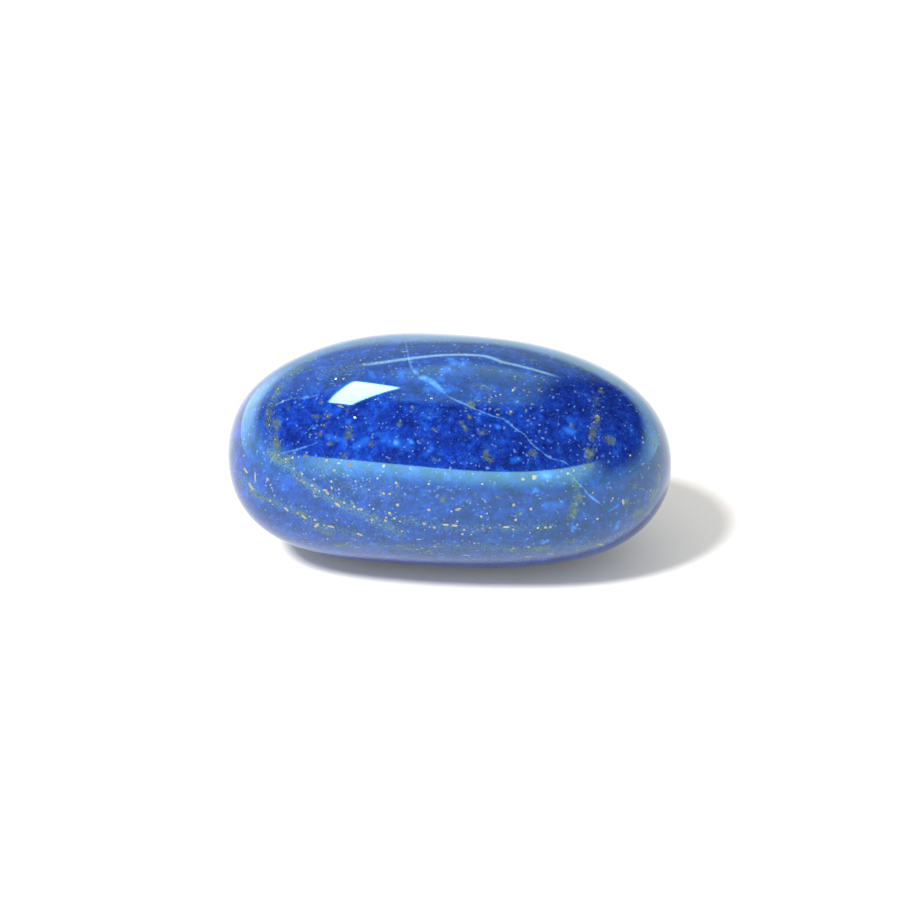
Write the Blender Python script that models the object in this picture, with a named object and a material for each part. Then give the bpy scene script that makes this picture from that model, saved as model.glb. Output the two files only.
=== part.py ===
"""A polished lapis lazuli palm stone: one long oval stone that rests on a small flat spot.

Units are metres and +Z is up. X runs along the stone, Y across it. The origin is on the
flat spot's plane, under the middle of the stone's length and width.
"""

import math

import bmesh
import bpy
import numpy as np
from mathutils import Vector

NAME = "lapis_lazuli"

# Driving dimensions, in metres
LENGTH = 0.050
WIDTH = 0.031
HEIGHT = 0.0254
FLAT_DEPTH = 0.00022

# How far the oval leans towards a rounded box: 0 is an ellipsoid and 1 a fourth-power oval
FULLNESS = 0.26

# How much wider and thicker the blunt -X end is than the other, as a part of the half size
WIDTH_TAPER = 0.030
HEIGHT_TAPER = 0.015

# How far the +X end lies below the middle line, and how far both ends droop, in metres
LEAN = 0.00025
DROOP = 0.00105

# Gentle waves left by polishing by hand: height, direction, length and starting angle in degrees
WAVES = (
    (0.00010, (0.45, 0.70, 0.60), 0.0165, 220.0),
    (0.00008, (-0.65, 0.70, -0.30), 0.0140, 230.0),
    (0.00010, (0.55, -0.20, 0.80), 0.0165, 10.0),
)

# Splitting an icosahedron to this level gives faces about 1.2 mm across
SPLITS = 5

# How near to the flat spot's plane a corner is taken to be on it, in metres
SNAP = 0.00001

LAPIS_BLUE = (0.020, 0.070, 0.400, 1.0)
POLISHED_ROUGHNESS = 0.08


def clear_scene():
    """Removes what the scene starts with."""
    for old in list(bpy.data.objects):
        bpy.data.objects.remove(old, do_unlink=True)


def oval_reach(directions):
    """The distance from the middle to the oval's surface along each unit direction.

    On the surface (1 - f) * s + f * q = 1, where f is FULLNESS, s is the sum of the squares
    of x and of the cross-section's radius, each over its half size, and q is the sum of
    their fourth powers. Along a direction that is a quadratic in the square of the reach.
    """
    along = directions[:, 0] * 2 / LENGTH
    across_squared = (directions[:, 1] * 2 / WIDTH) ** 2 + (directions[:, 2] * 2 / HEIGHT) ** 2
    second = (1 - FULLNESS) * (along**2 + across_squared)
    fourth = FULLNESS * (along**4 + across_squared**2)
    reach_squared = (np.sqrt(second**2 + 4 * fourth) - second) / (2 * fourth)
    return np.sqrt(reach_squared)


def polishing_waves(points):
    """The sum of the sine waves that cross the given points, in metres."""
    total = np.zeros(len(points))
    for height, direction, length, start in WAVES:
        unit = Vector(direction).normalized()
        total += height * np.sin(points @ np.array(unit) * math.tau / length + math.radians(start))
    return total


def stone_points(directions):
    """The points of the stone's skin along the given unit directions, about its middle."""
    reach = oval_reach(directions)
    reach = reach + polishing_waves(directions * reach[:, None])
    x, y, z = (directions * reach[:, None]).T
    end = x * 2 / LENGTH
    y = y * (1 - WIDTH_TAPER * end)
    z = z * (1 - HEIGHT_TAPER * end) - LEAN * end - DROOP * end**2
    return np.stack([x, y, z], axis=1)


def set_on_ground(points):
    """Moves the points so that the flat spot's plane is Z = 0 and the box is centred in X and Y."""
    low = points.min(axis=0)
    high = points.max(axis=0)
    middle = (low + high) / 2
    return points - np.array([middle[0], middle[1], low[2] + FLAT_DEPTH])


def cut_flat_spot(mesh):
    """Cuts off what lies below Z = 0 and closes the cut with one flat face.

    A corner nearer to the plane than SNAP isn't cut beside, which would leave a sliver. It
    joins the rim and is moved onto the plane.
    """
    everything = mesh.verts[:] + mesh.edges[:] + mesh.faces[:]
    bmesh.ops.bisect_plane(
        mesh, geom=everything, dist=SNAP, plane_co=(0, 0, 0), plane_no=(0, 0, -1), clear_outer=True
    )
    rim = [edge for edge in mesh.edges if edge.is_boundary]
    for edge in rim:
        for vertex in edge.verts:
            vertex.co.z = 0
    bmesh.ops.contextual_create(mesh, geom=rim)
    bmesh.ops.recalc_face_normals(mesh, faces=mesh.faces[:])


def stone_mesh():
    """The stone's closed mesh: an icosphere drawn out to the stone's shape, with its flat spot."""
    mesh = bmesh.new()
    bmesh.ops.create_icosphere(mesh, subdivisions=SPLITS, radius=1)
    directions = np.array([vertex.co.normalized() for vertex in mesh.verts])
    for vertex, place in zip(mesh.verts, set_on_ground(stone_points(directions))):
        vertex.co = place
    cut_flat_spot(mesh)
    data = bpy.data.meshes.new(NAME)
    mesh.to_mesh(data)
    mesh.free()
    data.shade_smooth()
    data.set_sharp_from_angle(angle=math.radians(30))
    return data


def polished_lapis():
    """The polished stone's plain material."""
    material = bpy.data.materials.new("polished_lapis")
    material.use_nodes = True
    shader = material.node_tree.nodes["Principled BSDF"]
    shader.inputs["Base Color"].default_value = LAPIS_BLUE
    shader.inputs["Roughness"].default_value = POLISHED_ROUGHNESS
    shader.inputs["Metallic"].default_value = 0.0
    return material


def build():
    """Makes the stone in a collection of its own."""
    clear_scene()
    collection = bpy.data.collections.new(NAME)
    bpy.context.scene.collection.children.link(collection)
    stone = bpy.data.objects.new(NAME, stone_mesh())
    stone.data.materials.append(polished_lapis())
    collection.objects.link(stone)


build()
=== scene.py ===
"""The looks of a polished lapis lazuli palm stone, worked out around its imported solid.

The stone's skin is the solid's own oval, made again with finer faces. Its markings lie where the
photograph shows them, and those that are layers in the rock run through it and come out behind.
"""

import math

import bpy
import numpy as np
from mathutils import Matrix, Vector


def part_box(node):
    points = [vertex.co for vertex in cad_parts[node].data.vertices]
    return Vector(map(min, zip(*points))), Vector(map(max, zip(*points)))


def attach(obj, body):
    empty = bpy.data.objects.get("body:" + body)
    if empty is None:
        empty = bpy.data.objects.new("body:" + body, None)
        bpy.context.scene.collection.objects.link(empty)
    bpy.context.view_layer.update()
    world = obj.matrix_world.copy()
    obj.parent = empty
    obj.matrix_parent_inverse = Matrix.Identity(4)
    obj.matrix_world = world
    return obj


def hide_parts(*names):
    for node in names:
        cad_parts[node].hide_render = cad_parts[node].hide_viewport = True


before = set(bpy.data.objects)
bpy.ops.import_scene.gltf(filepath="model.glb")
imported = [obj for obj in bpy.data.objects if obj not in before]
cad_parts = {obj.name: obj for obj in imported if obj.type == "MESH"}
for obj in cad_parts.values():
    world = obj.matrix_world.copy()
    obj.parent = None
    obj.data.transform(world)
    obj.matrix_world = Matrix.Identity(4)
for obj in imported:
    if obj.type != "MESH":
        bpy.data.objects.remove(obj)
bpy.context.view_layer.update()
STONE = "lapis_lazuli"

# The stone's driving dimensions, the same as its solid's, in metres
LENGTH = 0.050
WIDTH = 0.031
HEIGHT = 0.0254
FULLNESS = 0.26
WIDTH_TAPER = 0.030
HEIGHT_TAPER = 0.015
LEAN = 0.00025
DROOP = 0.00105
WAVES = (
    (0.00010, (0.45, 0.70, 0.60), 0.0165, 220.0),
    (0.00008, (-0.65, 0.70, -0.30), 0.0140, 230.0),
    (0.00010, (0.55, -0.20, 0.80), 0.0165, 10.0),
)

# Squares along each edge of the cube that the skin is drawn on: they come out about 0.25 mm wide
STEPS = 128

# The camera: lens and sensor in millimetres, place in metres and degrees, aim off the middle in metres
LENS = 103.0
SENSOR = 36.0
CAMERA_DISTANCE = 0.29
CAMERA_TURN = 4.0
CAMERA_RISE = 23.0
AIM_RIGHT = 0.00011
AIM_UP = -0.00002
PHOTO_SIZE = 900

# A pixel's width at the stone and how far from a vein it is still kept, in metres, and the
# start of the random draws
PIXEL = 0.0001126
VEIN_REACH = 0.0006
HIDDEN_SEED = 11

# Where the markings show in the photograph, in its pixels. A stroke is a soft mark from one place to
# another: x, y, x, y, its half width and its strength.
AZURE_STROKES = (
    (424, 378, 433, 382, 4.5, 1.0), (437, 386, 440, 389, 3.5, 0.9), (426, 388, 447, 390, 5, 0.55),
    (443, 370, 446, 369, 5, 0.7), (450, 359, 453, 362, 5, 0.8), (462, 363, 466, 361, 4, 0.6),
    (439, 378, 441, 379, 4, 0.5), (416, 372, 414, 369, 3, 0.6), (426, 416, 430, 417, 4, 0.45),
    (434, 413, 440, 411, 5, 0.3), (395, 442, 395, 443, 3.4, 0.85), (410, 441, 411, 442, 2.8, 0.8),
    (384, 440, 408, 446, 7, 0.4), (377, 433, 380, 434, 4, 0.45), (478, 418, 478, 420, 2.8, 0.6),
    (497, 426, 498, 427, 3, 0.7), (400, 372, 401, 378, 3, 0.45), (370, 372, 373, 376, 4, 0.55),
    (429, 445, 430, 450, 4, 0.4), (347, 420, 348, 421, 3.5, 0.55), (312, 426, 314, 427, 3, 0.5),
    (302, 432, 303, 433, 2.8, 0.4), (327, 436, 341, 440, 4, 0.5), (356, 446, 365, 440, 5, 0.55),
    (369, 428, 370, 429, 4, 0.45), (350, 369, 351, 370, 3.5, 0.4), (340, 425, 341, 426, 3.5, 0.35),
    (569, 419, 571, 423, 4, 0.5), (568, 430, 572, 431, 5, 0.6), (540, 416, 541, 417, 3, 0.45),
    (549, 440, 550, 441, 3, 0.45), (558, 448, 559, 450, 4, 0.4), (643, 417, 644, 418, 2, 0.5),
    (547, 360, 548, 361, 3, 0.4), (472, 458, 474, 459, 4, 0.45), (424, 454, 425, 455, 4, 0.4),
    (400, 452, 401, 453, 4, 0.35), (512, 460, 518, 459, 4, 0.5), (544, 475, 548, 475, 4.5, 0.9),
    (535, 489, 536, 490, 3, 0.75), (542, 543, 547, 540, 2.2, 0.95), (545, 506, 560, 505, 7, 0.4),
    (609, 510, 618, 505, 1.8, 0.6), (588, 494, 597, 501, 1.6, 0.65), (618, 522, 616, 527, 3, 0.75),
    (573, 527, 574, 528, 3.5, 0.7), (585, 514, 586, 515, 3, 0.45), (411, 467, 412, 468, 4, 0.5),
    (447, 475, 448, 476, 5, 0.35), (497, 469, 507, 473, 4, 0.4), (484, 541, 497, 541, 3, 0.4),
    # The wide stroke along the left end at x 262 is partly the stone's own azure and partly a painted
    # reflection of the bright side on the left
    (474, 538, 531, 540, 3, 0.3), (262, 420, 262, 452, 6, 0.35), (380, 394, 372, 402, 6, 0.3),
)
OLIVE_STROKES = (
    (292, 373, 300, 366, 3.5, 0.9), (277, 390, 280, 387, 3.5, 0.9), (273, 396, 274, 397, 3, 0.7),
    (268, 411, 267, 424, 3.5, 0.85), (275, 420, 276, 428, 4, 0.8), (275, 439, 278, 448, 4, 0.85),
    (286, 406, 287, 407, 3, 0.6), (272, 456, 280, 459, 5, 0.7), (285, 456, 292, 462, 5, 0.6),
    (315, 357, 308, 360, 3, 0.6), (312, 416, 318, 416, 3, 0.6), (327, 415, 327, 417, 2.8, 0.7),
    (323, 424, 324, 425, 2.5, 0.6), (318, 436, 319, 433, 3, 0.7), (329, 443, 331, 444, 3, 0.7),
    (348, 436, 347, 433, 4, 0.8), (349, 427, 349, 429, 4, 0.5), (343, 455, 343, 457, 3.5, 0.6),
    (347, 410, 347, 412, 3, 0.5), (370, 443, 371, 445, 2.5, 0.7), (320, 401, 321, 402, 3, 0.5),
    (412, 406, 414, 407, 3, 0.7), (398, 423, 399, 424, 3, 0.7), (461, 423, 466, 429, 2.5, 0.8),
    (472, 406, 470, 403, 4, 0.7), (469, 416, 469, 418, 2.5, 0.7), (433, 429, 435, 430, 4, 0.4),
    (422, 439, 423, 440, 4, 0.4), (480, 433, 486, 432, 5, 0.45), (389, 368, 390, 368, 3, 0.4),
    (490, 366, 491, 366, 2.5, 0.6), (510, 411, 511, 412, 2.5, 0.5), (474, 386, 488, 387, 6, 0.4),
    (451, 349, 455, 350, 3, 0.5), (360, 373, 362, 373, 3, 0.6), (531, 360, 535, 360, 2, 0.8),
    (592, 429, 592, 438, 3.5, 0.9), (588, 450, 587, 455, 3.5, 0.7), (606, 439, 611, 441, 4, 0.85),
    (596, 398, 597, 403, 4, 0.6), (600, 390, 600, 391, 3.5, 0.8), (596, 418, 596, 421, 4, 0.7),
    (572, 425, 573, 427, 5, 0.4), (533, 452, 530, 454, 4, 0.7), (599, 376, 606, 379, 4, 0.6),
    (566, 363, 573, 366, 4, 0.5), (580, 367, 588, 370, 4, 0.6), (612, 382, 614, 383, 4, 0.7),
    (485, 457, 486, 453, 3.5, 0.9), (434, 458, 435, 459, 4, 0.5), (489, 460, 491, 461, 4, 0.5),
    (574, 477, 575, 487, 4, 0.7), (578, 498, 576, 499, 5, 0.95), (574, 506, 571, 514, 5, 0.8),
    (567, 519, 568, 520, 4, 0.6), (585, 467, 590, 465, 3.5, 0.8), (592, 450, 585, 470, 5, 0.4),
    (636, 484, 634, 486, 3.5, 0.8), (627, 507, 626, 500, 4, 0.6), (652, 494, 653, 495, 4.5, 0.9),
    (639, 512, 635, 515, 5, 0.8), (649, 512, 650, 513, 4, 0.8), (658, 475, 658, 486, 5, 0.6),
    (569, 541, 571, 541, 4.5, 0.6), (546, 547, 535, 549, 4, 0.7), (517, 549, 510, 550, 4, 0.6),
    (603, 543, 598, 544, 2.5, 0.8), (398, 545, 407, 548, 3, 0.9), (410, 549, 424, 549, 2.5, 0.6),
    (442, 499, 444, 499, 2.8, 0.8), (467, 502, 468, 503, 3, 0.5), (475, 493, 476, 494, 2.5, 0.5),
    (497, 497, 498, 497, 2, 0.7), (518, 512, 519, 513, 3, 0.6), (490, 501, 491, 502, 2.5, 0.4),
    (249, 490, 261, 497, 4, 0.6), (272, 501, 264, 499, 3, 0.6), (295, 512, 306, 515, 3.5, 0.6),
    (316, 529, 330, 534, 4, 0.6), (336, 545, 346, 545, 4, 0.7), (338, 500, 339, 501, 3, 0.8),
)

# Pyrite flecks: x, y and half width. The long ones go from x, y to x, y.
FLECKS = (
    (379.4, 356.8, 1.6), (363.8, 363.5, 1.7), (360, 359.7, 1.5), (346.5, 366.4, 1.1), (343, 378.3, 1.7),
    (335, 378.3, 1.1), (307.3, 378.3, 1.1), (291, 374.5, 1.3), (277.6, 388.4, 1.4), (282.4, 400.8, 1.2),
    (268.5, 424.7, 1.2), (274.8, 439, 1.1), (354.2, 417, 1.5), (327, 415.6, 1.1), (323.6, 424.7, 1.0),
    (454, 344.4, 1.2), (481.7, 346.3, 1.5), (487, 344.4, 1.2), (512.4, 389.6, 2.0), (514.3, 388, 1.6),
    (523.4, 389.7, 1.4), (528.9, 391.4, 1.4), (538.6, 389.2, 1.8), (541, 391, 1.0), (543.5, 379.4, 1.4),
    (575, 391.4, 1.0), (494, 391, 1.0), (500, 394, 1.0), (489.6, 408.6, 1.6), (497, 408.6, 1.5),
    (497.2, 414, 1.7), (465.5, 410.4, 1.2), (470, 402.7, 1.2), (469, 417, 1.1), (510.4, 410.9, 1.1),
    (525.6, 409.8, 1.3), (527.2, 420, 1.3), (539, 424.4, 1.3), (600.4, 388, 1.8), (597, 415.8, 1.6),
    (597, 419.6, 1.6), (593.4, 421.7, 1.1), (642, 437, 1.3), (642.7, 441.8, 1.3), (658.4, 434.2, 1.3),
    (654, 445, 1.4), (629.7, 454.9, 1.2), (643.2, 463, 1.4), (657.9, 464.6, 1.2), (431, 398, 1.2),
    (278, 454.4, 1.5), (272.8, 456.7, 1.1), (285.3, 458.7, 1.2), (285.3, 462, 1.2), (292, 457.2, 1.3),
    (294.9, 452.4, 1.1), (298.2, 456.3, 1.1), (293, 467.8, 1.2), (326, 460, 1.9), (333.6, 469.7, 1.9),
    (338, 462.5, 1.3), (349.4, 464, 2.3), (347.5, 475, 1.7), (301.6, 473.5, 1.4), (296.3, 477.8, 1.1),
    (301, 479.7, 1.5), (303.5, 482, 1.3), (311.6, 485, 1.7), (313.5, 478.8, 1.2), (313.5, 491.7, 2.0),
    (315, 488.8, 1.4), (314.5, 495.5, 1.3), (318.8, 490.7, 1.4), (327, 492.6, 2.2), (331.2, 487.4, 1.6),
    (330.7, 481, 1.2), (338.4, 488.8, 1.4), (338.4, 493, 1.0), (332, 497.9, 1.1), (343.7, 502.2, 1.3),
    (353.7, 506, 1.8), (358, 508.9, 1.1), (360.9, 508.9, 1.4), (360.4, 486, 1.1), (355, 480.7, 1.3),
    (368.5, 489.3, 1.0), (369, 504.6, 1.1), (372.8, 508.4, 1.2), (371.4, 519.4, 1.9), (267, 478.8, 1.6),
    (270, 484.5, 1.1), (271.4, 487.4, 1.0), (269.5, 500.3, 1.4), (297.2, 512.7, 1.5), (314.5, 519.4, 1.5),
    (323.6, 524.7, 1.1), (336, 519.4, 1.4), (305.4, 533.3, 1.2), (327, 538.6, 1.3), (354.7, 539.5, 1.3),
    (346.5, 542.4, 1.3), (310, 543.3, 1.2), (316.9, 545.7, 1.1), (243.7, 455.3, 1.2), (383.2, 465.3, 1.5),
    (377, 477.8, 1.6), (395.6, 482.5, 1.8), (383.2, 493, 1.4), (389.4, 493.5, 1.6), (397, 504.5, 1.6),
    (389, 512.7, 1.9), (376.5, 517, 1.5), (385.6, 517, 1.2), (385, 520.3, 1.6), (393.7, 517.9, 1.6),
    (399.4, 520.8, 1.0), (401.4, 530.9, 1.3), (428.2, 509.3, 1.8), (428.2, 483.5, 1.3), (451, 510.8, 1.3),
    (423.4, 523.2, 1.5), (433.9, 527, 1.6), (424.3, 529.4, 1.1), (456.9, 520.8, 1.1), (480.8, 516, 1.5),
    (486.5, 513, 0.9), (487.5, 518.9, 0.9), (482.2, 528, 1.5), (489.4, 527.5, 1.2), (463.6, 529.4, 1.3),
    (461.7, 533.7, 1.5), (470.7, 534.2, 1.5), (474, 542.8, 1.2), (478, 542.8, 1.0), (421.5, 547.6, 1.4),
    (434.4, 546.2, 1.5), (438.2, 543.3, 1.4), (416, 549, 1.0), (481.7, 483.5, 1.5), (513.3, 504.5, 1.5),
    (512.9, 529, 1.1), (512.9, 547.6, 1.3), (522.3, 478.6, 1.6), (533.7, 477, 2.4), (573.3, 470, 1.6),
    (567.3, 472.8, 1.4), (612.3, 497.7, 1.0), (650.3, 490, 1.1), (597.2, 518.3, 1.6), (585.2, 518.3, 1.1),
    (576.6, 524.3, 1.3), (530.5, 508.5, 1.6), (515.3, 519.4, 1.6), (545, 527, 1.5), (550, 526.4, 1.4),
    (537.5, 527.5, 1.2), (511.5, 548.7, 1.3), (527.8, 546.5, 1.4), (592.3, 492.3, 0.9), (614.5, 535.6, 1.1),
)
LONG_FLECKS = (
    (338, 405, 342, 406.3, 1.1), (304.5, 455, 308, 456, 1.1), (335.5, 503, 338.5, 505.3, 1.3),
    (243.6, 468, 246.6, 472, 1.3), (248.8, 483.5, 251.6, 487.8, 2.0), (254.7, 473, 254.7, 481, 1.0),
    (284.5, 507.6, 287.2, 510, 1.2), (302.2, 515.4, 304.8, 517.6, 1.3), (314.6, 526.2, 317.4, 523.8, 1.4),
    (328, 525.7, 332.6, 526.5, 1.3), (357.2, 533.2, 361, 534.6, 1.4), (354.2, 546.2, 359, 547.4, 1.2),
    (443, 524.2, 447, 524.4, 1.3), (452.2, 525, 456, 525.2, 1.3), (455.8, 509.4, 458.8, 508.4, 1.3),
    (462.5, 554.6, 469, 554.9, 0.9), (503.6, 526.8, 507.8, 526.4, 1.3), (622.2, 499.8, 623, 503.2, 1.3),
    (547, 553.9, 552, 553.1, 0.9), (525, 556.5, 530, 556, 0.9), (401.5, 351.3, 405.5, 351, 0.9),
    (323.5, 489.5, 326, 490.1, 1.0), (598.6, 544, 602.4, 544.4, 1.0), (416.8, 539, 420.4, 539, 0.9),
)

# Veins: each has its path in pixels, with a half width at each place, and the dip by which its sheet
# runs on through the stone, as a turn and a rise in degrees
VEINS = (
    ((406, 346, 0.6), (407.5, 355, 0.8), (410, 365, 1.2), (414, 371, 1.8), (419, 376, 1.8),
     (425, 378, 2.6), (432, 382, 2.8), (438, 387, 2.4), (442, 391, 1.2), (448, 396, 0.9), (456, 400, 1.0),
     (465, 404, 1.1), (476, 409, 0.7), (492, 415.5, 0.7), (502, 418, 0.9), (508, 422, 1.0),
     (515, 428.5, 0.9), (524.5, 434.5, 0.8), (530, 442, 0.7), (536.5, 447.7, 0.7), (543, 453, 0.7),
     (550.5, 458, 0.8), (563, 461, 0.7), (570, 466, 0.6)),
    ((279, 402.5, 0.5), (287, 399, 0.6), (295.8, 397, 0.8), (305.4, 397, 0.8), (311, 396, 0.5)),
    ((285, 452, 0.5), (297.7, 448.7, 0.7), (312, 443.9, 0.5)),
    ((572, 476, 0.5), (581, 486, 0.8), (590, 496, 0.8), (598, 502, 0.6)),
)
VEIN_DIPS = ((196, -20), (150, 10), (170, 15), (165, -5))

# Belts full of fine flecks and grey grains: their paths in pixels, half width in pixels and strength
BELTS = (
    (((268, 452), (285, 465), (300, 478), (318, 492), (340, 503), (372, 518), (400, 533)), 6, 1.0),
    (((243, 480), (262, 497), (297, 512), (316, 524), (335, 530), (360, 535)), 5, 0.8),
    (((400, 520), (445, 526), (480, 528), (510, 528), (550, 526)), 5, 0.7),
    (((340, 545), (400, 547), (440, 547), (480, 546), (515, 549), (550, 550), (600, 545)), 4, 0.7),
    (((312, 359), (292, 373), (277, 390), (268, 412), (272, 440), (276, 456)), 6, 0.9),
    (((322, 372), (352, 368)), 10, 0.7),
    (((320, 470), (352, 484), (395, 494)), 11, 0.5),
    (((594, 400), (596, 422), (590, 450), (578, 480), (572, 512)), 6, 0.5),
)
BELT_DIP = (188, -30)

FLOOR_SIZE = 6.0
FLOOR_DROP = 0.00005
FLOOR_WHITE = (0.80, 0.79, 0.76, 1.0)
SKY_STRENGTH = 0.80
BOARD_STRENGTH = 2.6

# The colours of what the stone mirrors and of its own mirroring
STONE_TINT = (0.52, 1.0, 0.92, 1.0)
MIRRORED_TINT = (0.75, 1.0, 1.0, 1.0)
KEY_STRENGTH = 4.2
KEY_TURN = -39.0
KEY_RISE = 47.0
KEY_ANGLE = 11.0


def unit(vector):
    """The vector or rows of vectors, each divided by its length."""
    vector = np.asarray(vector, float)
    return vector / np.linalg.norm(vector, axis=-1, keepdims=True)


def cube_skin(steps):
    """The corners and squares of a cube's skin: six square grids with their seams closed.

    Two coordinates run over the grid and the third is the side's own. Corners that two or three
    sides share have the same whole numbers, so they are found and kept once.
    """
    run = np.arange(steps + 1) * 2 - steps
    across, up = (grid.ravel() for grid in np.meshgrid(run, run, indexing="ij"))
    first = (np.arange(steps)[:, None] * (steps + 1) + np.arange(steps)).ravel()
    square = np.stack([first, first + steps + 1, first + steps + 2, first + 1], axis=1)
    sides = []
    faces = []
    for axis in range(3):
        for sign in (1, -1):
            side = np.empty((across.size, 3), int)
            side[:, axis] = sign * steps
            side[:, (axis + 1) % 3] = across
            side[:, (axis + 2) % 3] = sign * up
            faces.append(square + len(sides) * across.size)
            sides.append(side)
    corners, kept = np.unique(np.concatenate(sides), axis=0, return_inverse=True)
    return corners / steps, kept.ravel()[np.concatenate(faces)]


def oval_reach(directions):
    """The distance from the middle to the oval's surface along each unit direction.

    On the surface (1 - f) * s + f * q = 1, where f is FULLNESS, s is the sum of the squares
    of x and of the cross-section's radius, each over its half size, and q is the sum of
    their fourth powers. Along a direction that is a quadratic in the square of the reach.
    """
    along = directions[:, 0] * 2 / LENGTH
    across_squared = (directions[:, 1] * 2 / WIDTH) ** 2 + (directions[:, 2] * 2 / HEIGHT) ** 2
    second = (1 - FULLNESS) * (along**2 + across_squared)
    fourth = FULLNESS * (along**4 + across_squared**2)
    reach_squared = (np.sqrt(second**2 + 4 * fourth) - second) / (2 * fourth)
    return np.sqrt(reach_squared)


def polishing_waves(points):
    """The sum of the sine waves that cross the given points, in metres."""
    total = np.zeros(len(points))
    for height, direction, length, start in WAVES:
        total += height * np.sin(points @ unit(direction) * math.tau / length + math.radians(start))
    return total


def stone_surface(steps):
    """The stone's skin about its own middle: its points, and its squares as rows of four.

    The cube's corners are spread evenly over a ball by a tangent, drawn out to the stone's
    proportions and sent out to the oval's reach. Then the section tapers towards +X, and the
    middle line leans down towards +X and droops at both ends with the square of x.
    """
    corners, faces = cube_skin(steps)
    directions = unit(unit(np.tan(corners * math.pi / 4)) * (LENGTH, WIDTH, HEIGHT))
    reach = oval_reach(directions)
    reach = reach + polishing_waves(directions * reach[:, None])
    x, y, z = (directions * reach[:, None]).T
    end = x * 2 / LENGTH
    y = y * (1 - WIDTH_TAPER * end)
    z = z * (1 - HEIGHT_TAPER * end) - LEAN * end - DROOP * end**2
    return np.stack([x, y, z], axis=1), faces


def set_in_solid(points):
    """The points moved to where the solid is, and where the middle they were about comes to lie.

    In X and Y their box takes the place and size of the solid's. In Z their top meets the
    solid's, and what would lie under the flat spot's plane, at Z = 0, is flattened onto it.
    """
    low, high = (np.array(corner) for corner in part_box(STONE))
    mine_low = points.min(axis=0)
    mine_high = points.max(axis=0)
    scale = (high - low) / (mine_high - mine_low)
    scale[2] = 1.0
    shift = high - mine_high * scale
    placed = points * scale + shift
    placed[:, 2] = np.maximum(placed[:, 2], 0)
    return placed, shift


def make_mesh(name, points, faces):
    """A smooth mesh object from rows of points and rows of faces."""
    mesh = bpy.data.meshes.new(name)
    mesh.from_pydata(points.tolist(), [], faces.tolist())
    mesh.shade_smooth()
    made = bpy.data.objects.new(name, mesh)
    bpy.context.scene.collection.objects.link(made)
    return made


def store(mesh, name, values, domain):
    """Keeps one number or one vector for each point or face, for the material to read."""
    kind, field = ("FLOAT_VECTOR", "vector") if values.ndim == 2 else ("FLOAT", "value")
    layer = mesh.attributes.new(name, kind, domain)
    layer.data.foreach_set(field, values.astype(np.float32).ravel())


def from_angles(turn, rise):
    """The unit vector towards a turn from the front, + to the right, and a rise, in degrees."""
    turn, rise = math.radians(turn), math.radians(rise)
    level = math.cos(rise)
    return np.array([math.sin(turn) * level, -math.cos(turn) * level, math.sin(rise)])


def soft_strokes(points, starts, ends, widths, strengths):
    """The strongest of some soft strokes at each point.

    A stroke is its strength times e to the power of minus the square of the distance from its
    line, over its half width.
    """
    field = np.zeros(len(points))
    for start, end, width, strength in zip(starts, ends, widths, strengths):
        run = end - start
        share = np.clip((points - start) @ run / max(run @ run, 1e-12), 0, 1)
        gap_squared = ((points - start - share[:, None] * run) ** 2).sum(axis=1)
        field = np.maximum(field, strength * np.exp(-gap_squared / width**2))
    return field


def sheet_parts(points, path, dip):
    """Each point's gap from a sheet: a path drawn through the stone along the dip.

    Path and points are laid flat along the dip. There each stretch of the path is a plane seen
    on edge. Also gives, for the nearest stretch, a place on it, the unit vector square to its
    plane, and its number with the share along it.
    """
    side = unit(np.cross(dip, (0, 0, 1)))
    rise = np.cross(side, dip)
    flat_points = np.stack([points @ side, points @ rise], axis=1)
    flat_path = np.stack([path @ side, path @ rise], axis=1)
    best = np.full(len(points), np.inf)
    home = np.zeros((len(points), 3))
    across = np.zeros((len(points), 3))
    where = np.zeros(len(points))
    for number, (start, end) in enumerate(zip(flat_path[:-1], flat_path[1:])):
        run = end - start
        share = (flat_points - start) @ run / (run @ run)
        share = np.clip(share, 0, 1)
        gap = np.linalg.norm(flat_points - start - share[:, None] * run, axis=1)
        nearer = gap < best
        square = unit((-run[1], run[0]))
        best = np.where(nearer, gap, best)
        home[nearer] = start[0] * side + start[1] * rise
        across[nearer] = square[0] * side + square[1] * rise
        where = np.where(nearer, number + share, where)
    return best, home, across, where


def keep_veins(mesh, centres, paths):
    """Keeps, for each square, the plane and half width of the vein that is nearest to it."""
    count = len(centres)
    nearest = np.full(count, np.inf)
    home = np.zeros((count, 3))
    across = np.zeros((count, 3))
    for (path, widths), (turn, rise) in zip(paths, VEIN_DIPS):
        gap, place, square, where = sheet_parts(centres, path, from_angles(turn, rise))
        width = np.interp(where, np.arange(len(widths)), widths)
        nearer = gap / width < nearest
        nearest = np.where(nearer, gap / width, nearest)
        home[nearer] = place[nearer]
        across[nearer] = (square / width[:, None])[nearer]
        reached = gap < VEIN_REACH
        nearest = np.where(nearer & ~reached, np.inf, nearest)
    store(mesh, "vein_home", home, "FACE")
    store(mesh, "vein_across", across, "FACE")
    store(mesh, "vein_strength", np.isfinite(nearest).astype(float), "FACE")


def belt_field(points, paths):
    """How strongly each point lies in a belt: e to minus the squared gap over the half width."""
    field = np.zeros(len(points))
    for path, width, strength in paths:
        gap = sheet_parts(points, path, from_angles(*BELT_DIP))[0]
        field = np.maximum(field, strength * np.exp(-((gap / width) ** 2)))
    return field


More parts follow.
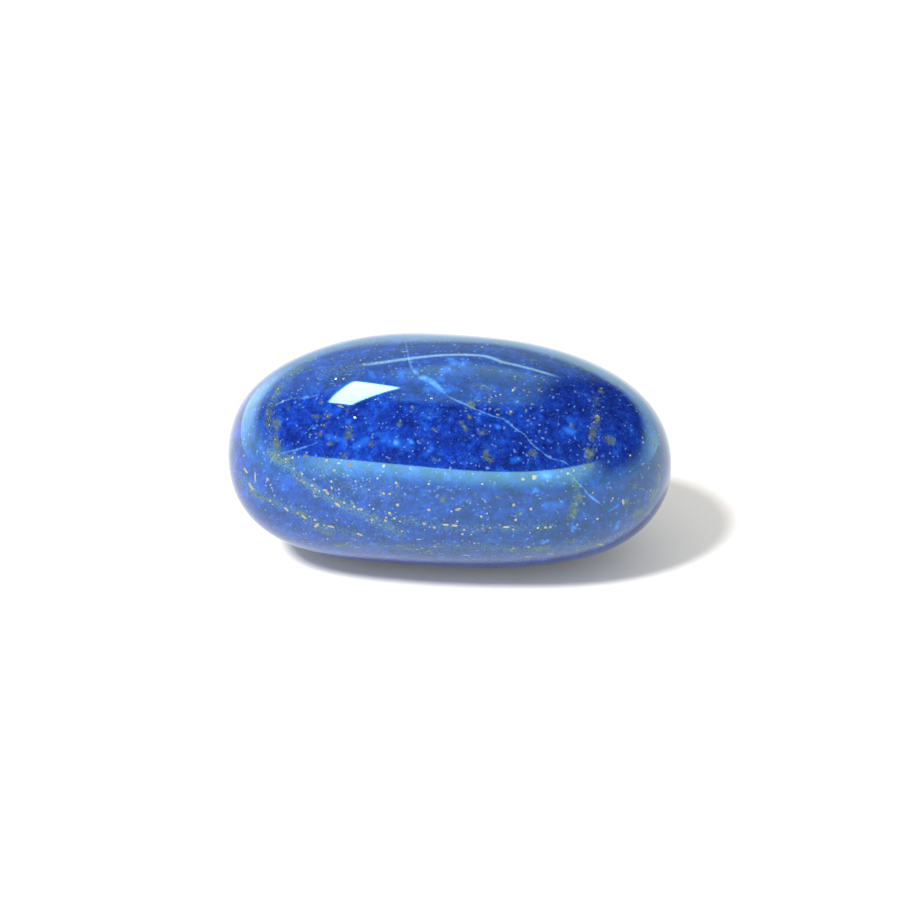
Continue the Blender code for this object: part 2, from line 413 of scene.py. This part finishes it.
def keep_flecks(mesh, centres, homes, sizes, lies, tilts):
    """Keeps, for each square, the middle, half width, lie and tilt of the fleck nearest to it."""
    nearest = np.full(len(centres), np.inf)
    chosen = np.zeros(len(centres), int)
    for number, (home, size) in enumerate(zip(homes, sizes)):
        gap = np.sqrt(((centres - home) ** 2).sum(axis=1)) - size
        nearer = gap < nearest
        nearest[nearer] = gap[nearer]
        chosen[nearer] = number
    store(mesh, "fleck_home", homes[chosen], "FACE")
    store(mesh, "fleck_size", sizes[chosen], "FACE")
    store(mesh, "fleck_lie", lies[chosen], "FACE")
    store(mesh, "fleck_tilt", tilts[chosen], "FACE")


def place_markings(stone, points, faces, view):
    """Reads where the markings lie and keeps them in the stone's mesh.

    What the photograph shows goes where it shows it. The sides that it hides get strokes and
    flecks from a seeded draw, which also adds fine flecks to the side that it shows.
    """
    mesh = stone.data
    draw = np.random.default_rng(HIDDEN_SEED)
    centres = points[faces].mean(axis=1)
    corners = points[faces]
    normals = np.cross(corners[:, 2] - corners[:, 0], corners[:, 3] - corners[:, 1])
    areas = np.linalg.norm(normals, axis=1) / 2
    facing = unit(normals) @ view.back
    hidden = np.flatnonzero(facing < 0.05)
    chance = areas / areas.sum()
    for name, strokes, extra in (("azure", AZURE_STROKES, 60), ("olive", OLIVE_STROKES, 90)):
        rows = np.array(strokes)
        starts = view.on_stone(stone, rows[:, 0:2])
        ends = view.on_stone(stone, rows[:, 2:4])
        spots = centres[draw.choice(hidden, extra, p=chance[hidden] / chance[hidden].sum())]
        copied = draw.integers(len(rows), size=extra)
        runs = np.linalg.norm(ends - starts, axis=1)[copied, None] * unit(draw.normal(size=(extra, 3)))
        starts = np.concatenate([starts, spots])
        ends = np.concatenate([ends, spots + runs])
        widths = np.concatenate([rows[:, 4], rows[copied, 4]]) * PIXEL
        strengths = np.concatenate([rows[:, 5], rows[copied, 5]])
        store(mesh, name, soft_strokes(points, starts, ends, widths, strengths), "POINT")
    veins = []
    for rows in VEINS:
        rows = np.array(rows)
        veins.append((view.on_stone(stone, rows[:, :2]), rows[:, 2] * PIXEL))
    keep_veins(mesh, centres, veins)
    belts = [(view.on_stone(stone, path), width * PIXEL, strength) for path, width, strength in BELTS]
    store(mesh, "belt", belt_field(points, belts), "POINT")
    round_rows = np.array(FLECKS)
    long_rows = np.array(LONG_FLECKS)
    homes = view.on_stone(stone, round_rows[:, :2])
    starts = view.on_stone(stone, long_rows[:, 0:2])
    ends = view.on_stone(stone, long_rows[:, 2:4])
    lengths = np.linalg.norm(ends - starts, axis=1) / 2 + long_rows[:, 4] * PIXEL
    long_lies = unit(ends - starts) * (1 - long_rows[:, 4] * PIXEL / lengths)[:, None]
    shown_lies = unit(draw.normal(size=(len(homes), 3))) * draw.uniform(0, 0.45, len(homes))[:, None]
    tries = draw.choice(len(centres), 16000, p=chance)
    density = 0.05 + 0.55 * belt_field(centres[tries], belts)
    density = np.where(facing[tries] < 0.05, density * 1.25, density * 0.32)
    picked = tries[draw.uniform(size=len(tries)) < density * 0.32]
    sizes = draw.lognormal(math.log(0.00006), 0.30, len(picked))
    sizes = np.where(facing[picked] < 0.05, sizes * 1.35, sizes)
    random_lies = unit(draw.normal(size=(len(picked), 3))) * draw.uniform(0, 0.5, len(picked))[:, None]
    homes = np.concatenate([homes, (starts + ends) / 2, centres[picked]])
    sizes = np.concatenate([round_rows[:, 2] * PIXEL, lengths, sizes])
    lies = np.concatenate([shown_lies, long_lies, random_lies])
    tilts = draw.normal(size=(len(homes), 3)) * 0.22
    keep_flecks(mesh, centres, homes, sizes, lies, tilts)


class PhotoView:
    """The camera's place and axes, which also carry a pixel of the photograph onto the stone."""

    def __init__(self, middle):
        self.back = from_angles(CAMERA_TURN, CAMERA_RISE)
        self.right = unit(np.cross((0, 0, 1), self.back))
        self.up = np.cross(self.back, self.right)
        aim = middle + self.right * AIM_RIGHT + self.up * AIM_UP
        self.place = aim + self.back * CAMERA_DISTANCE

    def on_stone(self, stone, pixels):
        """Where the rays through these pixels of the photograph meet the stone, in metres.

        A ray leaves the camera towards the far side by the lens's length in pixels, to the
        right by the pixel's distance from the picture's middle, and down likewise.
        """
        middle = (PHOTO_SIZE - 1) / 2
        length = LENS / SENSOR * PHOTO_SIZE
        met = []
        for x, y in pixels:
            ray = self.right * (x - middle) - self.up * (y - middle) - self.back * length
            found, place, normal, face = stone.ray_cast(Vector(self.place), Vector(ray).normalized())
            if not found:
                raise ValueError(f"no stone at pixel {x}, {y}")
            met.append(place)
        return np.array(met)

    def make_camera(self):
        """The scene's camera at the photograph's angle."""
        data = bpy.data.cameras.new("camera")
        data.lens = LENS
        data.sensor_width = SENSOR
        data.clip_start = 0.01
        data.clip_end = 10.0
        camera = bpy.data.objects.new("camera", data)
        camera.location = self.place
        camera.rotation_euler = Vector(self.back).to_track_quat("Z", "Y").to_euler()
        bpy.context.scene.collection.objects.link(camera)
        bpy.context.scene.camera = camera


class Wire:
    """A shader socket that works in Python sums: each sum on it adds its Math node."""

    def __init__(self, graph, socket):
        self.graph = graph
        self.socket = socket

    def math(self, operation, *others):
        """The Math node of that operation on this socket and the others."""
        values = dict(enumerate((self, *others)))
        return self.graph.node("ShaderNodeMath", {"operation": operation}, values)

    def __add__(self, other):
        return self.math("ADD", other)

    def __sub__(self, other):
        return self.math("SUBTRACT", other)

    def __mul__(self, other):
        return self.math("MULTIPLY", other)

    def __truediv__(self, other):
        return self.math("DIVIDE", other)

    def __rsub__(self, other):
        return self.graph.node("ShaderNodeMath", {"operation": "SUBTRACT"}, {0: other, 1: self})

    __radd__ = __add__
    __rmul__ = __mul__

    def step(self, low, high):
        """0 where this is under low and 1 where it is over high, with a smooth rise between."""
        values = {"Value": self, "From Min": low, "From Max": high}
        return self.graph.node("ShaderNodeMapRange", {"interpolation_type": "SMOOTHSTEP"}, values)

    def window(self, low, high, soft):
        """1 between low and high and 0 outside, with edges twice as wide as soft."""
        return self.step(low - soft, low + soft) * (1 - self.step(high - soft, high + soft))

    def parts(self):
        """The X, Y and Z of a vector socket."""
        split = self.graph.node("ShaderNodeSeparateXYZ", {}, {"Vector": self})
        return [Wire(self.graph, socket) for socket in split.socket.node.outputs]


def fill_ramp(ramp, stops):
    """Gives a colour ramp its stops, each a place and a colour."""
    for position, _ in stops[2:]:
        ramp.elements.new(position)
    for element, (position, colour) in zip(ramp.elements, stops):
        element.position = position
        element.color = colour


class Graph:
    """A material's or the world's node tree. Every node but the sums comes from node()."""

    def __init__(self, owner):
        owner.use_nodes = True
        self.tree = owner.node_tree
        self.tree.nodes.clear()

    def node(self, kind, settings, values, output=0):
        """A new node: its settings are set first, then its sockets' values or links."""
        made = self.tree.nodes.new(kind)
        for name, setting in settings.items():
            if name == "stops":
                fill_ramp(made.color_ramp, setting)
            else:
                setattr(made, name, setting)
        for name, value in values.items():
            if isinstance(value, Wire):
                self.tree.links.new(value.socket, made.inputs[name])
            else:
                made.inputs[name].default_value = value
        return Wire(self, made.outputs[output]) if made.outputs else None

    def mix(self, factor, first, second, blend="MIX"):
        """The first colour, with the second mixed in by the factor."""
        settings = {"data_type": "RGBA", "blend_type": blend}
        return self.node("ShaderNodeMix", settings, {0: factor, 6: first, 7: second}, output=2)

    def vector(self, operation, first, second, output=0):
        """Vector Math on two vectors, or on a vector and a number for SCALE."""
        values = {0: first, ("Scale" if operation == "SCALE" else 1): second}
        if operation in ("LENGTH", "NORMALIZE"):
            values = {0: first}
        return self.node("ShaderNodeVectorMath", {"operation": operation}, values, output)

    def attribute(self, name, output):
        """A number ("Fac") or a vector ("Vector") that the mesh keeps."""
        return self.node("ShaderNodeAttribute", {"attribute_name": name}, {}, output)

    def noise(self, place, scale, detail, roughness, output=0):
        """Fractal noise about 0.5, or its colour with output 1."""
        values = {"Vector": place, "Scale": scale, "Detail": detail, "Roughness": roughness}
        return self.node("ShaderNodeTexNoise", {}, values, output)


def make_world():
    """White behind everything, an even sky for soft light, and cards that only gloss mirrors.

    Each card is a window in turn and rise, in degrees. The front ones count their turn from the
    camera's side and the back ones from the far side, + to the right in both.
    """
    world = bpy.data.worlds.new("studio")
    bpy.context.scene.world = world
    graph = Graph(world)
    direction = graph.node("ShaderNodeTexCoord", {}, {}, output="Generated")
    x, y, z = direction.parts()
    to_degrees = 180 / math.pi
    rise = z.math("ARCSINE") * to_degrees
    front = x.math("ARCTAN2", y * -1) * to_degrees
    back = x.math("ARCTAN2", y) * to_degrees
    slanted = rise - front * 0.055
    front_board = front.window(-52, 50, 16) * slanted.window(-8, 21.8, 0.7)
    board = front_board * (1.4 + 3.1 * slanted.step(-4, 20))
    left = front.window(-150, -58, 10) * rise.window(-10, 20, 7) * 1.8
    right = front.window(52, 130, 12) * rise.window(-10, 10, 9) * 1.3
    horizon = back.window(-75, 75, 20) * rise.window(-10, 17, 6) * 1.4
    far = back.window(-60, 18, 12) * rise.window(18, 64, 8) * 0.7
    streak_rise = rise - 41 - 5 * back.step(2, 7)
    streak = back.window(-18, 18, 3) * streak_rise.window(-1.4, 1.4, 0.8) * 3.2
    overhead = x.window(-0.14, 0.22, 0.07) * y.window(0.04, 0.6, 0.05) * z.step(0, 0.2) * 0.95
    lamp_middle = unit((-0.282, 0.255, 0.925))
    lamp_right = unit(np.cross((0, 0, 1), lamp_middle))
    lamp_up = np.cross(lamp_middle, lamp_right)
    lamp_x = graph.vector("DOT_PRODUCT", direction, tuple(lamp_right), output="Value")
    lamp_y = graph.vector("DOT_PRODUCT", direction, tuple(lamp_up), output="Value")
    lamp_foot = (lamp_y - lamp_x * 0.22).step(-0.175, -0.145)
    lamp_head = 1 - (lamp_y + lamp_x * 0.1).step(0.075, 0.105)
    lamp = lamp_x.window(-0.14, 0.245, 0.015) * lamp_foot * lamp_head * z.step(0, 0.1) * 22
    mirrored = 0.03 + board + left + right + horizon + far + streak + overhead + lamp
    light_path = {kind: graph.node("ShaderNodeLightPath", {}, {}, output=kind)
                  for kind in ("Is Camera Ray", "Is Glossy Ray")}
    glossy = light_path["Is Glossy Ray"]
    camera = light_path["Is Camera Ray"]
    soft = (1 - glossy) * (1 - camera) * (SKY_STRENGTH + BOARD_STRENGTH * front_board)
    strength = glossy * mirrored + soft + camera
    tint = graph.mix(glossy, (1, 1, 1, 1), MIRRORED_TINT)
    shade = graph.node("ShaderNodeBackground", {}, {"Color": tint, "Strength": strength})
    graph.node("ShaderNodeOutputWorld", {}, {"Surface": shade})


def make_key_light():
    """The soft sun from the front left, which gives the shadow on the right. Gloss doesn't mirror it."""
    data = bpy.data.lights.new("key", "SUN")
    data.energy = KEY_STRENGTH
    data.angle = math.radians(KEY_ANGLE)
    key = bpy.data.objects.new("key", data)
    key.rotation_euler = Vector(from_angles(KEY_TURN, KEY_RISE)).to_track_quat("Z", "Y").to_euler()
    key.visible_glossy = False
    bpy.context.scene.collection.objects.link(key)


def make_floor():
    """A plain white floor just under the stone."""
    half = FLOOR_SIZE / 2
    corners = np.array([(-half, -half), (half, -half), (half, half), (-half, half)])
    points = np.column_stack([corners, np.full(4, -FLOOR_DROP)])
    floor = make_mesh("floor", points, np.array([[0, 1, 2, 3]]))
    material = bpy.data.materials.new("floor_white")
    graph = Graph(material)
    shade = graph.node("ShaderNodeBsdfDiffuse", {}, {"Color": FLOOR_WHITE})
    graph.node("ShaderNodeOutputMaterial", {}, {"Surface": shade})
    floor.data.materials.append(material)


def lapis_material():
    """Polished lapis: grained blue with azure clouds, olive grains, pale veins and pyrite flecks.

    Place is the Object coordinate in millimetres. Each marking is a mask between 0 and 1, made
    from what the mesh keeps and roughened by noise, and the colours are laid over each other.
    """
    material = bpy.data.materials.new("polished_lapis")
    graph = Graph(material)
    metres = graph.node("ShaderNodeTexCoord", {}, {}, output="Object")
    place = graph.vector("SCALE", metres, 1000.0)
    coarse = graph.noise(place, 0.40, 4.0, 0.55)
    middling = graph.noise(place, 1.3, 4.0, 0.60)
    fine = graph.noise(place, 3.4, 4.0, 0.65)
    shake = graph.vector("SUBTRACT", graph.noise(place, 2.2, 3.0, 0.6, output=1), (0.5, 0.5, 0.5))
    shaken = graph.vector("ADD", place, graph.vector("SCALE", shake, 0.7))

    depth = coarse * 0.38 + middling * 0.36 + fine * 0.26
    blues = ((0.30, (0.0022, 0.0072, 0.068, 1)), (0.43, (0.0030, 0.012, 0.133, 1)),
             (0.52, (0.0040, 0.022, 0.207, 1)), (0.60, (0.0058, 0.043, 0.292, 1)),
             (0.72, (0.0105, 0.100, 0.385, 1)))
    colour = graph.node("ShaderNodeValToRGB", {"stops": blues}, {"Fac": depth})
    cells = {"Vector": shaken, "Scale": 1.9, "Smoothness": 0.6}
    grain = graph.node("ShaderNodeTexVoronoi", {"feature": "SMOOTH_F1"}, cells, output="Color").parts()[0]
    x = place.parts()[0]
    # Painted light and shade: the blue is lighter towards -X and darker towards +X, as the key light falls
    # from the left, on top of the grain's own light and dark
    light = (0.72 + 0.56 * grain) * (1.18 - 0.26 * x.step(-12, 10))
    colour = graph.vector("SCALE", colour, light)

    azure = graph.attribute("azure", "Fac") * (0.35 + 1.3 * middling)
    azure = azure + 0.30 * coarse.step(0.56, 0.70) * middling + 0.25 * (fine - 0.5)
    colour = graph.mix(azure.step(0.10, 0.66), colour, (0.010, 0.080, 0.42, 1))
    colour = graph.mix(azure.step(0.50, 1.25), colour, (0.09, 0.26, 0.50, 1))

    belt = graph.attribute("belt", "Fac")
    speckled = graph.noise(place, 5.0, 3.0, 0.6)
    grey = (speckled + belt * 0.16).step(0.56, 0.68) * (0.30 + 0.5 * belt)
    colour = graph.mix(grey, colour, (0.055, 0.105, 0.155, 1))
    olive = graph.attribute("olive", "Fac") * (0.2 + 1.6 * middling) + 0.9 * (speckled - 0.5)
    olive = olive + 0.5 * (coarse + middling - 1.0)
    greens = ((0.36, (0.018, 0.036, 0.045, 1)), (0.50, (0.045, 0.072, 0.068, 1)),
              (0.62, (0.095, 0.125, 0.080, 1)))
    green = graph.node("ShaderNodeValToRGB", {"stops": greens}, {"Fac": fine * 0.6 + middling * 0.4})
    colour = graph.mix(olive.step(0.14, 0.74) * 0.80, colour, green)

    spots = {"Vector": shaken, "Scale": 2.1}
    dots = graph.node("ShaderNodeTexVoronoi", {}, spots)
    picked = graph.node("ShaderNodeTexVoronoi", {}, spots, output="Color").parts()[1]
    pale = (1 - dots.step(0.14, 0.34)) * picked.step(0.62, 0.70)
    colour = graph.mix(pale * 0.45, colour, (0.16, 0.28, 0.46, 1))

    wobble = graph.vector("SUBTRACT", graph.noise(place, 3.0, 3.0, 0.6, output=1), (0.5, 0.5, 0.5))
    wobble = graph.vector("SCALE", wobble, 0.00022)
    wandering = graph.vector("ADD", metres, wobble)
    from_vein = graph.vector("SUBTRACT", wandering, graph.attribute("vein_home", "Vector"))
    across = graph.vector("DOT_PRODUCT", from_vein, graph.attribute("vein_across", "Vector"), output="Value")
    vein = (1 - across.math("ABSOLUTE").step(0.45, 1.35)) * graph.attribute("vein_strength", "Fac")
    vein = vein * (0.25 + 0.75 * middling.step(0.38, 0.55))
    colour = graph.mix(vein * 0.48, colour, (0.10, 0.26, 0.52, 1))

    from_fleck = graph.vector("SUBTRACT", metres, graph.attribute("fleck_home", "Vector"))
    lie = graph.attribute("fleck_lie", "Vector")
    along = graph.vector("DOT_PRODUCT", from_fleck, lie, output="Value")
    rough_edge = 0.35 + 1.3 * graph.noise(place, 8.0, 2.0, 0.6)
    length = graph.vector("LENGTH", from_fleck, (0, 0, 0), output="Value")
    long_way = graph.vector("LENGTH", lie, (0, 0, 0), output="Value")
    side_way = (length * length - along * along / (long_way * long_way + 0.0001)).math("MAXIMUM", 0.0)
    stretch = 1 - long_way
    reach = (side_way / (stretch * stretch) + along * along / (long_way * long_way + 0.0001)).math("SQRT")
    fleck = 1 - (reach / graph.attribute("fleck_size", "Fac") * rough_edge).step(0.82, 1.12)
    gold = graph.mix(graph.noise(place, 9.0, 2.0, 0.5), (0.24, 0.21, 0.13, 1), (0.46, 0.43, 0.33, 1))
    colour = graph.mix(fleck, colour, gold)
    tilt = graph.vector("SCALE", graph.attribute("fleck_tilt", "Vector"), fleck)
    upright = graph.node("ShaderNodeNewGeometry", {}, {}, output="Normal")
    normal = graph.vector("NORMALIZE", graph.vector("ADD", upright, tilt), (0, 0, 0))
    values = {
        "Base Color": colour,
        "Roughness": 0.05 + 0.27 * fleck,
        "Metallic": fleck * 0.70,
        "Normal": normal,
        "IOR": 1.5,
        "Specular IOR Level": 1.0,
        "Specular Tint": STONE_TINT,
    }
    shade = graph.node("ShaderNodeBsdfPrincipled", {}, values)
    graph.node("ShaderNodeOutputMaterial", {}, {"Surface": shade})
    return material


def make_stone():
    """The polished stone, which stands for the solid. Also gives where the shape's middle lies."""
    points, faces = stone_surface(STEPS)
    points, middle = set_in_solid(points)
    stone = make_mesh("polished_stone", points, faces)
    stone.data.materials.append(lapis_material())
    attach(stone, "root")
    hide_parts(STONE)
    return stone, points, faces, middle


stone, points, faces, middle = make_stone()
photo_view = PhotoView(middle)
place_markings(stone, points, faces, photo_view)
photo_view.make_camera()
make_world()
make_key_light()
make_floor()
bpy.context.scene.view_settings.view_transform = "Standard"
